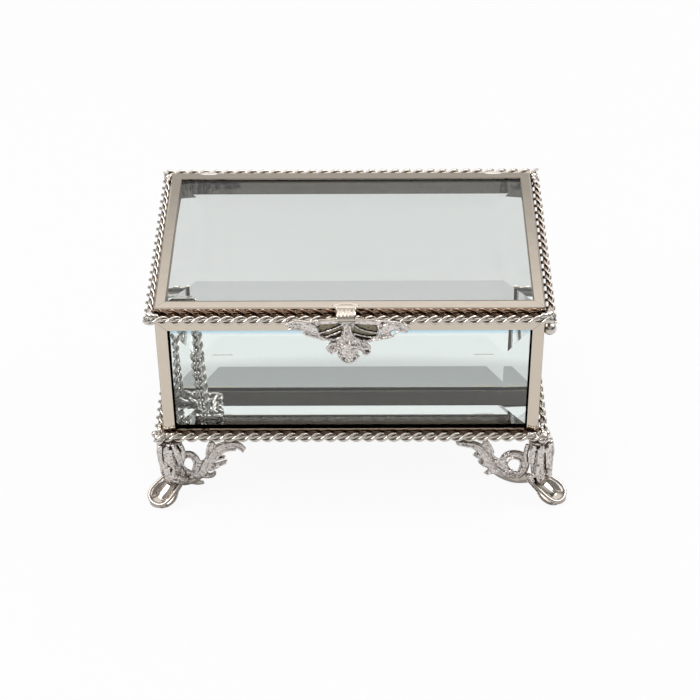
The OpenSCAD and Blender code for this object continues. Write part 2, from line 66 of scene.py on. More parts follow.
class Number:
    """A value in a material's tree. Python's operators on it add Math nodes."""

    def __init__(self, nodes, socket):
        self.nodes = nodes
        self.socket = socket

    def math(self, operation, *others):
        """A Math node of that operation on this value and the others."""
        return self.nodes.node("Math", {"operation": operation}, {0: self, **dict(enumerate(others, 1))})

    def __add__(self, other):
        return self.math("ADD", other)

    def __sub__(self, other):
        return self.math("SUBTRACT", other)

    def __rsub__(self, other):
        return (self * -1) + other

    def __mul__(self, other):
        return self.math("MULTIPLY", other)

    def __abs__(self):
        return self.math("ABSOLUTE")

    __radd__ = __add__
    __rmul__ = __mul__

    def step(self, low, high):
        """0 below low and 1 above high, smooth between. With low above high it falls instead."""
        names = {"Value": self, "From Min": low, "From Max": high}
        return self.nodes.node("MapRange", {"interpolation_type": "SMOOTHSTEP"}, names)


class Nodes:
    """A node tree, emptied, to which nodes are added by expressions."""

    def __init__(self, tree):
        self.tree = tree
        tree.nodes.clear()

    def put(self, socket, value):
        """Sets a socket to a plain value, or links a Number to it."""
        if isinstance(value, Number):
            self.tree.links.new(value.socket, socket)
        else:
            socket.default_value = value

    def node(self, kind, settings=None, inputs=None, output=0):
        """Adds a node: its settings first, then the values or links of its sockets."""
        node = self.tree.nodes.new("ShaderNode" + kind)
        for name, value in (settings or {}).items():
            if name == "stops":
                for element, (place, colour) in zip(stops_of(node, len(value)), value):
                    element.position = place
                    element.color = colour
            else:
                setattr(node, name, value)
        for name, value in (inputs or {}).items():
            self.put(node.inputs[name], value)
        return Number(self, node.outputs[output])

    def place(self):
        """The three Object coordinates of the surface, in metres."""
        point = self.node("TexCoord", output="Object")
        return [self.node("SeparateXYZ", inputs={0: point}, output=axis) for axis in "XYZ"]

    def noise(self, size, detail=2.0, stretch=(1, 1, 1)):
        """Noise from 0 to 1 whose spots are about that large, in metres."""
        point = self.node("TexCoord", output="Object")
        scale = [1 / (size * part) for part in stretch]
        scaled = self.node("Mapping", inputs={"Vector": point, "Scale": scale})
        return self.node("TexNoise", inputs={"Vector": scaled, "Scale": 1.0, "Detail": detail})

    def mix(self, share, first, second):
        """The colour first where share is 0 and second where it is 1."""
        inputs = {"Factor": share, 6: first, 7: second}
        return self.node("Mix", {"data_type": "RGBA"}, inputs, output=2)

    def hollow(self, reach):
        """1 deep in a groove or hollow of the shape and 0 in the open."""
        return 1 - self.node("AmbientOcclusion", {"samples": 8}, {"Distance": reach}, output="AO")


class Finish(Nodes):
    """A material with one Principled shader, whose constants are set on the shader's own sockets."""

    def __init__(self, name, **constants):
        self.material = bpy.data.materials.new(name)
        self.material.use_nodes = True
        super().__init__(self.material.node_tree)
        self.output = self.tree.nodes.new("ShaderNodeOutputMaterial")
        self.shader = self.tree.nodes.new("ShaderNodeBsdfPrincipled")
        self.tree.links.new(self.shader.outputs[0], self.output.inputs["Surface"])
        for socket, value in constants.items():
            self.set(socket.replace("_", " "), value)

    def set(self, name, value):
        """Sets or links one of the shader's sockets."""
        self.put(self.shader.inputs[name], value)

    def bump(self, height, distance, strength=1.0):
        """Raises the surface where height is large, by at most that distance."""
        inputs = {"Height": height, "Distance": distance, "Strength": strength}
        self.set("Normal", self.node("Bump", inputs=inputs))

    def blend(self, share, other):
        """Shows the Principled shader where share is 0 and the other shader where it is 1."""
        own = Number(self, self.shader.outputs[0])
        self.put(self.output.inputs["Surface"], self.node("MixShader", inputs={0: share, 1: own, 2: other}))


def stops_of(node, count):
    """A ramp's stops, once there are that many."""
    elements = node.color_ramp.elements
    while len(elements) < count:
        elements.new(1.0)
    return elements


def rgb(red, green, blue):
    """A colour given as it looks on a screen, from 0 to 255, as a linear one."""
    def linear(value):
        value /= 255
        return value / 12.92 if value <= 0.04045 else ((value + 0.055) / 1.055) ** 2.4
    return (linear(red), linear(green), linear(blue), 1.0)


CHAMPAGNE = rgb(225, 213, 198)
NICKEL = rgb(226, 221, 214)
# Dark brown for patina, for the mitre lines, and for painted shade in hollows and gaps
TARNISH_AND_SHADE = rgb(48, 36, 28)


def plated_strip():
    """Flat plated strip: almost a mirror, warm, with hairline mitre lines; painted shade behind the rope, on
    the inner faces and as a line at the lid's inner edge; patina and painted shade in its hollows.
    """
    finish = Finish("plated_strip", Metallic=1.0)
    x, y, z = finish.place()
    from_side = HALF_W - abs(x)
    from_front = HALF_D - abs(y)
    inward = from_side.math("MINIMUM", from_front)
    seam = 0.13 * MM
    mitre_top = abs(from_side - from_front).step(seam, 0.4 * seam)
    level = BODY_TOP - z
    mitre_front = abs(from_side - level).step(seam, 0.4 * seam) * from_front.step(0.3 * MM, 0.1 * MM)
    mitre_side = abs(from_front - level).step(seam, 0.4 * seam) * from_side.step(0.3 * MM, 0.1 * MM)
    upright = level.step(STRIP_W + 0.1 * MM, STRIP_W - 0.1 * MM) * level.step(0, 0.1 * MM)
    corner_line = mitre_front.math("MAXIMUM", mitre_side) * upright
    on_lid = z.step(LID_TOP - 0.15 * MM, LID_TOP - 0.05 * MM)
    # A painted shadow line along the lid strip's inner edge, for the shadow gap between strip and glass; it is
    # darkened together with the mitre lines
    inner_edge_shadow = inward.step(STRIP_W - 0.6 * MM, STRIP_W - 0.3 * MM) * on_lid
    seams_and_edge_shadow = mitre_top.math("MAXIMUM", corner_line).math("MAXIMUM", inner_edge_shadow)
    streaks = finish.noise(9 * MM, 3.0, (1.6, 1.6, 1))
    fine = finish.noise(1.6 * MM, 3.0)
    # Painted shade on the strip faces behind the ropes and on the base strip's top edge, for the rope's dark
    # reflection and shadow there
    above_body = z.step(BODY_TOP + 0.05 * MM, BODY_TOP + 0.25 * MM)
    lid_face = above_body * z.step(LID_TOP - 0.4 * MM, LID_TOP - 0.6 * MM)
    base_face = z.step(BASE_STRIP_TOP - 0.2 * MM, BASE_STRIP_TOP - 0.5 * MM)
    rope_shade_mask = inward.step(0.3 * MM, 0.15 * MM) * lid_face.math("MAXIMUM", base_face)
    ledge_shade = abs(z - BASE_STRIP_TOP).step(0.15 * MM, 0.05 * MM) * inward.step(1.5 * MM, 1.2 * MM)
    dark = rope_shade_mask.math("MAXIMUM", ledge_shade) * (fine * 0.35 + 0.72)
    # Patina and painted shade in the strip's hollows, found by ambient occlusion
    patina_and_shade = finish.hollow(1.2 * MM).step(0.25, 0.95)
    worn_and_inner_shade = finish.mix(streaks.step(0.3, 0.75) * 0.3, CHAMPAGNE, rgb(212, 199, 182))
    # Painted shade: the frame's faces inside the box, below the lid's top, are darker
    inner_shade = inward.step(1.6 * MM, 2.2 * MM) * z.step(LID_TOP - 0.8 * MM, LID_TOP - 1.2 * MM)
    worn_and_inner_shade = finish.mix(inner_shade, worn_and_inner_shade, rgb(140, 131, 122))
    with_patina_and_shade = finish.mix(patina_and_shade * 0.55, worn_and_inner_shade, TARNISH_AND_SHADE)
    # The painted shade behind the ropes goes into the colour here
    with_rope_shade = finish.mix(dark.math("MINIMUM", 1.0), with_patina_and_shade, rgb(150, 126, 110))
    finish.set("Base Color", finish.mix(seams_and_edge_shadow * 0.75, with_rope_shade, TARNISH_AND_SHADE))
    finish.set("Roughness", streaks * 0.04 + patina_and_shade * 0.15 + seams_and_edge_shadow * 0.3 + 0.025)
    ripple = finish.noise(5 * MM, 1.0)
    finish.bump(ripple - seams_and_edge_shadow * 0.6, 0.02 * MM, 0.5)
    return finish.material


def plated_wire(name, colour, roughness, patina_and_shade_reach):
    """Bright round wire, darkened in its grooves by patina and painted shade."""
    finish = Finish(name, Metallic=1.0)
    # Patina and painted shade in the grooves, found by ambient occlusion
    patina_and_shade = finish.hollow(patina_and_shade_reach).step(0.14, 0.62)
    tone = finish.noise(3 * MM)
    bright = finish.mix(tone.step(0.35, 0.7) * 0.35, colour, rgb(204, 193, 182))
    finish.set("Base Color", finish.mix(patina_and_shade * 0.93, bright, TARNISH_AND_SHADE))
    finish.set("Roughness", tone * 0.1 + patina_and_shade * 0.25 + roughness)
    finish.bump(finish.noise(0.9 * MM), 0.03 * MM, 0.6)
    return finish.material


def plated_casting(name, colour, patina_and_shade_share=0.92):
    """Cast and plated leaf work: bright on the ridges, patina and painted shade in the hollows, painted shade
    on the toe, with a crisp hammered grain.
    """
    finish = Finish(name, Metallic=1.0)
    # Patina and painted shade in the hollows, found by ambient occlusion
    patina_and_shade = finish.hollow(1.5 * MM).step(0.18, 0.62)
    tone = finish.noise(0.9 * MM)
    z = finish.place()[2]
    leafy = z.step(8.5 * MM, 12 * MM) * z.step(LID_TOP - 2.2 * MM, LID_TOP - 3.2 * MM)
    mottled = finish.mix(tone.step(0.48, 0.62) * 0.55, colour, rgb(146, 132, 123))
    # Painted shade: the toe below the leaf work takes a darker smooth colour, while the lid's roll above takes
    # the plate's own colour
    plain = finish.mix(z.step(20 * MM, 30 * MM), rgb(200, 191, 182), rgb(224, 212, 198))
    bright = finish.mix(leafy, plain, mottled)
    finish.set("Base Color", finish.mix(patina_and_shade * patina_and_shade_share, bright, TARNISH_AND_SHADE))
    finish.set("Roughness", tone * 0.1 + patina_and_shade * 0.3 + 0.07)
    finish.bump(finish.noise(1.5 * MM, 3.5) * leafy, 0.9 * MM)
    return finish.material


def clear_glass(name, tint):
    """Polished glass that lets the lamps' light through. tint takes the finish and gives the colour."""
    finish = Finish(name, Roughness=0.0, IOR=1.5, Transmission_Weight=1.0)
    finish.set("Base Color", tint(finish))
    lamp_ray = finish.node("LightPath", output="Is Shadow Ray")
    window = finish.node("BsdfTransparent", inputs={"Color": (0.9, 0.94, 0.92, 1.0)})
    finish.blend(lamp_ray, window)
    return finish.material


def green_grey(finish):
    """The faint tint of the panes, with a painted blue glint line under the lid where the front pane meets its
    strip.
    """
    y, z = finish.place()[1:]
    tint = finish.mix(finish.noise(60 * MM) * 0.3, (0.955, 0.975, 0.968, 1), (0.94, 0.965, 0.955, 1))
    # A painted blue glint: a blue line in the tint along the front pane's top edge, under the lid
    edge = z.step(OPEN_TOP - 3.6 * MM, OPEN_TOP - 1.8 * MM) * z.step(OPEN_TOP + 0.3 * MM, OPEN_TOP)
    at_front = y.step(-HALF_D + 6 * MM, -HALF_D + 5 * MM)
    return finish.mix(edge * at_front, tint, (0.35, 0.62, 0.86, 1))


def mirror_glass():
    """Silvered glass with a trace of dust that dulls its edges."""
    finish = Finish("mirror_glass", Metallic=1.0)
    dust = finish.noise(7 * MM, 4.0).step(0.5, 0.8)
    finish.set("Base Color", finish.mix(dust * 0.06, (0.84, 0.87, 0.86, 1), (0.7, 0.7, 0.68, 1)))
    finish.set("Roughness", dust * 0.02 + 0.006)
    return finish.material


def dark_plate():
    """The plate under the mirror, near black."""
    finish = Finish("dark_plate", Metallic=1.0, Base_Color=rgb(46, 38, 32))
    finish.set("Roughness", finish.noise(4 * MM) * 0.2 + 0.3)
    return finish.material


STRIP = plated_strip()
WIRE = plated_wire("plated_wire", NICKEL, 0.07, 1.2 * MM)
ROPE = plated_wire("rope_wire", rgb(232, 224, 214), 0.04, 1.3 * MM)
# Painted shade: the side ropes take a darker copy of the rope's finish
SHADED_SIDE_ROPE = plated_wire("shaded_side_rope_wire", rgb(194, 186, 178), 0.04, 1.3 * MM)
CASTING = plated_casting("plated_casting", rgb(246, 239, 235))
# Painted shade: the hollow behind the lift's openings takes a dark colour
SHADED_RECESS = plated_casting("shaded_recess_casting", rgb(140, 134, 112), 0.95)
GLASS = clear_glass("bevelled_glass", green_grey)
MIRROR = mirror_glass()
UNDERSIDE = dark_plate()
# The chain's ambient occlusion reaches further, for deeper patina and painted shade between its links
CHAIN = plated_wire("chain_wire", rgb(196, 193, 188), 0.06, 3.2 * MM)


def finish_of(node):
    """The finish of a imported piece, by its name."""
    if node.endswith("_pane"):
        return GLASS
    if node == "mirror_base":
        return MIRROR
    if node == "base_plate":
        return UNDERSIDE
    if "rope" in node:
        return ROPE
    if "chain" in node or node == "ball_stud" or node.startswith("hinge_pin"):
        return WIRE
    return STRIP


for node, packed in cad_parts.items():
    for packed_slot in packed.material_slots:
        packed_slot.material = finish_of(node)


# Modelling

def fresh():
    """Nothing selected, and out of edit mode."""
    if bpy.context.mode != "OBJECT":
        bpy.ops.object.mode_set(mode="OBJECT")
    bpy.ops.object.select_all(action="DESELECT")


def pick(piece):
    """Makes a piece the only one selected, and active."""
    fresh()
    piece.select_set(True)
    bpy.context.view_layer.objects.active = piece


def settle(piece, name, body, material, slot, *nodes):
    """Places a finished piece: its place goes into its mesh, and it rides on its body for its nodes."""
    pick(piece)
    bpy.ops.object.transform_apply(location=True, rotation=True, scale=True)
    piece.name = name
    piece.data.name = name
    piece.data.materials.clear()
    piece.data.materials.append(material)
    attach(piece, body)
    if nodes:
        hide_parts(*nodes)


def join(pieces):
    """Joins pieces into the first one."""
    fresh()
    for piece in pieces:
        piece.select_set(True)
    bpy.context.view_layer.objects.active = pieces[0]
    bpy.ops.object.join()
    return pieces[0]


def apply_all(piece):
    """Applies a piece's modifiers in order."""
    pick(piece)
    for modifier in list(piece.modifiers):
        bpy.ops.object.modifier_apply(modifier=modifier.name)


def shaped(piece, matrix):
    """Moves, turns and scales a piece by a matrix, in its mesh."""
    pick(piece)
    piece.matrix_world = matrix
    bpy.ops.object.transform_apply(location=True, rotation=True, scale=True)
    return piece


def twin(piece):
    """A copy of a piece with its own mesh."""
    copy = piece.copy()
    copy.data = piece.data.copy()
    bpy.context.scene.collection.objects.link(copy)
    return copy


def merged_copy(node):
    """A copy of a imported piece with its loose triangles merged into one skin. Nothing in it is selected."""
    copy = twin(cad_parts[node])
    pick(copy)
    bpy.ops.object.mode_set(mode="EDIT")
    bpy.ops.mesh.select_all(action="SELECT")
    bpy.ops.mesh.remove_doubles(threshold=0.001 * MM)
    bpy.ops.mesh.select_all(action="DESELECT")
    bpy.ops.object.mode_set(mode="OBJECT")
    return copy


def about_z(degrees):
    """The matrix of a turn about Z."""
    return Matrix.Rotation(math.radians(degrees), 4, "Z")


def bars(rows, closed=False):
    """Round bars along smooth lines. Each row gives points as x, y, z and radius, in millimetres."""
    fresh()
    bpy.ops.curve.primitive_nurbs_path_add()
    lines = bpy.context.object
    lines.data.splines.clear()
    lines.data.bevel_depth = MM
    lines.data.bevel_resolution = 3
    lines.data.resolution_u = 5
    lines.data.use_fill_caps = True
    for row in rows:
        line = lines.data.splines.new("NURBS")
        line.points.add(len(row) - 1)
        line.order_u = 3
        line.use_endpoint_u = not closed
        line.use_cyclic_u = closed
        for point, (x, y, z, radius) in zip(line.points, row):
            point.co = (x * MM, y * MM, z * MM, 1)
            point.radius = radius
    bpy.ops.object.convert(target="MESH")
    return bpy.context.object


def blob(centre, radii, turn=0.0):
    """A rounded lump, in millimetres, turned about Z by that many degrees."""
    bpy.ops.mesh.primitive_uv_sphere_add(segments=20, ring_count=12, radius=MM)
    lump = bpy.context.object
    place = Matrix.Translation(Vector(centre) * MM) @ about_z(turn)
    return shaped(lump, place @ Matrix.Diagonal((*radii, 1)))


def cast(pieces, grain, softness=2):
    """Runs overlapping pieces together into one cast skin, whose smallest details are one grain large."""
    piece = join(pieces)
    skin = piece.modifiers.new("skin", "REMESH")
    skin.mode = "VOXEL"
    skin.voxel_size = grain * MM
    soft = piece.modifiers.new("soft", "SMOOTH")
    soft.factor = 0.5
    soft.iterations = softness
    apply_all(piece)
    bpy.ops.object.shade_smooth()
    return piece


def smooth(piece, degrees):
    """Shades a piece smooth but for edges sharper than that many degrees."""
    pick(piece)
    bpy.ops.object.shade_smooth_by_angle(angle=math.radians(degrees))
    return piece


# Rope

WIRE_R = 0.68 * MM
HELIX_R = ROPE_R - WIRE_R
CORE_R = HELIX_R - WIRE_R + 0.06 * MM
BEAD = 0.9 * MM

# The body that each frame of rope is on, the length of one turn of its wires, and the angle they start at
ROPE_BODY = {"base": "box", "lid": "lid"}
LAY = {"base": 10.81 * MM, "lid": 10.62 * MM}
FIRST_ANGLE = {"base": 2.31, "lid": 0.83}


def strand(length, lay, first_angle):
    """One wire of a rope along +X from the origin, wound to the left, which starts at that angle."""
    lead = math.atan2(lay, 2 * math.pi * HELIX_R)
    bpy.ops.mesh.primitive_circle_add(vertices=14, radius=WIRE_R, location=(0, 0, HELIX_R))
    wire = bpy.context.object
    wire.rotation_euler = (math.pi / 2, 0, 0)
    wire.scale = (1 / math.cos(lead), 1, 1)
    bpy.ops.object.transform_apply(location=True, rotation=True, scale=True)
    screw = wire.modifiers.new("lay", "SCREW")
    screw.axis = "X"
    screw.angle = -2 * math.pi
    screw.screw_offset = lay
    screw.iterations = math.ceil(length / lay) + 1
    screw.steps = screw.render_steps = 20
    screw.use_normal_calculate = True
    apply_all(wire)
    wire.rotation_euler = (first_angle, 0, 0)
    bpy.ops.object.transform_apply(rotation=True)
    return wire


def cut(piece, point, normal):
    """Cuts away the side of a piece that normal points to, and closes the cut."""
    pick(piece)
    bpy.ops.object.mode_set(mode="EDIT")
    bpy.ops.mesh.select_all(action="SELECT")
    bpy.ops.mesh.bisect(plane_co=point, plane_no=normal, use_fill=True, clear_outer=True)
    bpy.ops.object.mode_set(mode="OBJECT")


def rope(length, lay, first_angle):
    """A twisted rope along X, before a wall at y = 0: two wires, a thin core and a solder bead behind."""
    full = length + 4 * ROPE_R
    bpy.ops.mesh.primitive_cylinder_add(vertices=12, radius=CORE_R, depth=full, rotation=(0, math.pi / 2, 0))
    core = bpy.context.object
    core.location = (full / 2 + lay, 0, 0)
    bpy.ops.object.transform_apply(location=True, rotation=True, scale=True)
    wires = [strand(full + lay, lay, first_angle + turn) for turn in (0, math.pi)]
    pair = join([*wires, core])
    pair.location = (-full / 2 - lay, -SOLDER - ROPE_R, 0)
    bpy.ops.object.transform_apply(location=True)
    bpy.ops.mesh.primitive_cube_add(size=1)
    place = Matrix.Translation((0, -BEAD / 2, 0)) @ Matrix.Diagonal((full, BEAD, BEAD, 1))
    run = join([pair, shaped(bpy.context.object, place)])
    for side in (-1, 1):
        cut(run, (side * length / 2, 0, 0), (side, 1, 0))
    return smooth(run, 60)


def rope_side(node, length, turn, out, lay, first_angle):
    """Rope on one side of the box, for a node that gives its height."""
    low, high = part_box(node)
    piece = rope(length, lay, first_angle)
    piece.matrix_world = about_z(turn) @ Matrix.Translation((0, -out, (low.z + high.z) / 2))
    return piece


def rope_frames():
    """The ropes round base and lid. Each side has its length, its turn and how far out its wall is."""
    sides = {
        "front": (2 * HALF_W, 0, HALF_D),
        "right": (2 * HALF_D, 90, HALF_W),
        "back": (2 * HALF_W, 180, HALF_D),
        "left": (2 * HALF_D, -90, HALF_W),
    }
    for level, body in ROPE_BODY.items():
        for side, (length, turn, out) in sides.items():
            node = f"{level}_rope_{side}"
            side_rope = rope_side(node, length, turn, out, LAY[level], FIRST_ANGLE[level])
            # The side ropes get the darker, painted-shade copy of the rope's finish
            material = SHADED_SIDE_ROPE if side in ("left", "right") else ROPE
            settle(side_rope, node + "_twist", body, material, "plated_rope", node)


rope_frames()


# Castings

FOOT_GRAIN = 0.32
LIFT_GRAIN = 0.24
SOLDER_GRAIN = 0.22


def relief(rows, out, thin, wall):
    """Bars along a wall, thinned towards it. Rows give length from the corner, height and radius."""
    sign, turn = (-1, 0) if wall == "front" else (1, 90)
    piece = bars([[(along, 0, height, radius) for along, height, radius in row] for row in rows])
    move = about_z(turn) @ Matrix.Translation((0, sign * out * MM, 0))
    return shaped(piece, move @ Matrix.Diagonal((1, thin, 1, 1)))


def even(radius, *rows):
    """Rows of points without radii, as rows that all have the same radius."""
    return [[(*point, radius) for point in row] for row in rows]


def wing(leaf, veins, strip, beads, wall):
    """A pierced leaf wing along one wall: the leaf, its veins, the strip it hangs from and its beads."""
    leaf_work = [relief(leaf, 0.1, 0.5, wall), relief(veins, 1.35, 0.9, wall)]
    return [*leaf_work, relief([strip], -0.9, 0.6, wall), *beads]


def first_wing():
    """The wing along the wall on the casting's first side, with its berries."""
    leaf = [
        [(1, 7.6, 2.4), (5, 6.6, 2.8), (8.4, 6.6, 2.7), (12.5, 9, 2.8), (16, 13.5, 2.6), (18.7, 18.5, 2.3),
            (20.7, 23, 2.6), (24, 25.9, 2.6), (28.5, 27.7, 2.2), (32, 27, 1.9), (34, 24.4, 1.2)],
        [(18, 13.5, 1.8), (21.5, 15.2, 1.6), (24, 16.8, 1.2), (26.4, 18.4, 0.5)],
        [(19.5, 18, 1.6), (23, 20.2, 1.2), (25.7, 20.6, 0.6)],
        [(15.5, 9.8, 1.8), (18.4, 9.2, 1.6), (20.3, 10.4, 1.2), (20.8, 12.2, 0.6)],
        [(11, 6, 1.6), (13.5, 5, 1.4), (15.6, 5.6, 0.9)],
        [(9.5, 10.5, 2), (6.8, 12.5, 1.9), (5.4, 16, 1.8), (6.2, 20, 1.7), (8.8, 22.6, 1.5),
            (11.4, 22.2, 1.4), (13.4, 19.2, 1.3), (13.6, 15.5, 1.4), (12.3, 12, 1.8)],
        [(12.5, 15, 1.6), (15.5, 16.5, 1.6), (17.5, 18, 1.5)],
        [(18.5, 21, 1.6), (18.9, 25, 1.5), (20.5, 28.8, 1.5)],
    ]
    veins = even(0.48,
        [(9, 7.5), (13, 10.8), (16, 15.2), (18.5, 20.5), (20.7, 25), (24.3, 28), (28.5, 29.3), (32.5, 28.8),
            (34.2, 26.6)],
        [(9, 6.2), (13, 9), (16.8, 13.3), (19.3, 18.5), (21.5, 23), (25, 26), (29, 27.3), (32, 26.2),
            (33.6, 24)],
        [(15, 9.8), (18.5, 14.3), (21, 19), (23.8, 23), (27.3, 25.4), (30.5, 25.2)],
        [(18.6, 13.6), (22, 15.4), (26, 18)], [(19.8, 18.3), (23, 20.3), (25.4, 20.5)],
        [(16, 9.6), (18.6, 9.6), (20.6, 11.6)],
        [(7, 11), (4.6, 14), (4.4, 18), (6, 22), (9, 24), (12, 23), (14.5, 19.5)],
        [(8, 14), (7, 16.5), (7.6, 20), (9.6, 21.7), (11.6, 20.2), (12.2, 16.8), (11.2, 14)],
        [(17.6, 22), (17.8, 26), (19.3, 29.6)], [(14.3, 13), (15.6, 16.6), (17.6, 20.4)])
    strip = [(19, 30, 1), (27, 30.2, 1), (35, 29.6, 1)]
    berries = [blob((along, -1.2, height), (1.2, 1, 1.2))
        for along, height in ((9.2, 12.9), (11, 11.9), (10.2, 9.6), (12.4, 10.4))]
    return wing(leaf, veins, strip, berries, "front")


def second_wing():
    """The wing along the wall on the casting's other side, with its row of beads."""
    leaf = [
        [(34.5, 28.5, 1.3), (32, 27.6, 1.5), (28.5, 27.6, 2), (24.5, 25.5, 2.4), (21.8, 21, 2.7),
            (19.5, 16, 2.8), (16, 12, 2.9), (12, 9.2, 3), (7, 7.4, 3), (2, 7.8, 2.6)],
        [(22.5, 20, 2), (25.3, 20.6, 1.7), (26.9, 22, 1)],
        [(20.5, 15.5, 2), (23, 16.2, 1.6), (24.6, 18, 0.9)],
        [(18.5, 12, 1.8), (20.8, 11.2, 1.5), (21.3, 10.2, 1.2)],
        [(19.5, 22, 1.6), (20.5, 26, 1.6), (22.5, 29, 1.4)],
        [(6, 10, 2.2), (4.6, 13.5, 2), (4.4, 17.5, 2), (6, 21, 1.9), (9.3, 21.9, 2.2), (12.8, 21.6, 1.6),
            (14.4, 18.6, 1.6), (14, 15, 1.7), (12.5, 12, 2.2)],
        [(12.5, 15, 1.6), (15.5, 16.5, 1.6), (17.5, 18, 1.5)],
    ]
    veins = even(0.48,
        [(35, 29.4), (31.5, 28.8), (27.5, 28.6), (23.6, 26.4), (21, 21.6), (18.6, 16.6), (15.2, 13),
            (11.6, 11)],
        [(34, 28), (30.5, 27), (27, 26.4), (24.6, 23.6), (22.6, 19), (20, 14), (16, 10.4), (11, 8.2), (7, 7)],
        [(23.4, 20.6), (26.6, 21.8)], [(21.4, 15.6), (24.4, 17.6)], [(18.8, 12), (21, 10.8)],
        [(7, 9.4), (4.8, 12), (3.6, 16), (4.6, 20.6), (8, 23.4), (12, 23), (15, 20)],
        [(7.4, 13.2), (6.4, 16), (6.8, 19), (9.2, 20.4), (11.6, 19.8), (12.4, 17.4)],
        [(18.6, 23), (19.6, 27), (21.6, 30)], [(16, 19.6), (18.6, 20.6), (19.6, 23.6)])
    strip = [(21, 30, 1), (28, 30.2, 1), (35, 29.8, 1)]
    beads = [blob((-1.3, along, height), (0.9, 0.9, 0.9)) for along, height in
        ((8.6, 11.8), (10.4, 12.8), (12.2, 12), (9.4, 9.8), (11.6, 10), (13.6, 10.6), (14.2, 12.4))]
    return wing(leaf, veins, strip, beads, "side")


def corner_block(top, ankle):
    """The leafy block under the corner of the rope. It leans so that it ends in the ankle."""
    core = [(1.9, 1.1, 30.7, 4.6), (1.9, 1, 24, 4.2), (1.7, 0.6, 17, 3.6), (1.3, 0.1, 11, 3.2),
        (0.8, -0.4, 7.6, 3)]
    fan = [
        [(-2.4, -3.2, 30.4, 1), (-2.9, -3.4, 24.5, 1.1), (-1.9, -3.4, 18, 1), (-0.4, -3.2, 13.6, 0.5)],
        [(0.4, -3.9, 30.4, 1), (0.4, -4.7, 25.5, 1.3), (1.6, -4.4, 20, 1.1), (3, -3.7, 16.6, 0.5)],
        [(3.2, -3.7, 30.4, 1.1), (4.2, -4.3, 26, 1.4), (5, -3.5, 21.5, 1), (4.6, -3, 17.4, 0.5)],
        [(6, -2.6, 30, 1.1), (7.2, -2.6, 26, 1.2), (6.8, -2.4, 22, 0.9), (5.8, -2.4, 18.6, 0.5)],
        [(-0.8, -3.9, 22, 0.7), (-0.6, -4.2, 17.5, 1.2), (-0.9, -3.8, 12.8, 1), (-0.6, -3.4, 9, 0.6)],
        [(2.4, -4.1, 20, 0.6), (2.2, -4.2, 16, 1.1), (1.4, -3.9, 12, 0.9), (1, -3.4, 9, 0.6)],
        [(-3.3, 0, 30.4, 1), (-4, 0.2, 25, 1.2), (-3.6, 0, 19, 1), (-3, -0.8, 13.6, 0.6)],
        [(-2.9, 3.2, 30.4, 1.1), (-3.7, 3.8, 25.5, 1.4), (-3.2, 4, 20.5, 1), (-2.6, 3.6, 17, 0.5)],
        [(-2, 6, 30, 1.1), (-2.3, 7, 26, 1.2), (-2.2, 6.6, 22, 0.9), (-2.2, 5.6, 18.6, 0.5)],
        [(-3.6, 1.8, 20, 0.6), (-3.5, 1.8, 16, 1.1), (-3.2, 0.8, 12, 0.9), (-2.6, 0.4, 9, 0.6)],
    ]
    creases = even(0.4,
        [(-0.9, -4.3, 29.6), (-1.4, -4.8, 25), (-0.4, -4.9, 20)],
        [(1.9, -4.8, 29), (2.2, -5.5, 25.5), (3, -5, 21)],
        [(4.9, -4.4, 29), (6, -4.3, 25), (6.4, -3.6, 20.6)],
        [(-4.2, 1.6, 29), (-4.9, 1.9, 25), (-4.3, 1.6, 21)],
        [(-3.9, 4.8, 29), (-4.4, 5.6, 25), (-3.8, 5.6, 21)],
        [(-3.6, -1.8, 29), (-4.1, -1.9, 24), (-3.1, -2.4, 18)],
        [(-1.6, -4.2, 19), (-1.7, -4, 14), (-1.4, -3.8, 10)],
        [(0.6, -4.9, 19.6), (0.4, -4.8, 14.6), (0.2, -4.2, 10)])
    knobs = [blob(centre, (radius, radius, radius)) for *centre, radius in (
        (2.4, -3.9, 13.6, 1.3), (4.4, -3.1, 12.6, 1.2), (3.2, -3.2, 10.6, 1.3), (5.6, -2.1, 10.6, 1.2),
        (0.6, -4.2, 12, 1.1), (-2.2, 3.2, 13.4, 1.2), (-1.8, 4.8, 12.4, 1.2), (-2.4, 3.4, 10.8, 1.2),
        (-1, -3.3, 13.4, 1), (-3, 0.2, 12.8, 1.1))]
    upper, fall = 30, 22
    core_foot = (0.8, -0.3)
    lean = Matrix.Identity(4)
    for axis in (0, 1):
        slope = (top[axis] - ankle[axis] + core_foot[axis]) / fall
        lean[axis][2] = slope
        lean[axis][3] = (top[axis] - slope * upper) * MM
    return [shaped(join([bars([core]), bars(fan), bars(creases), *knobs]), lean)]


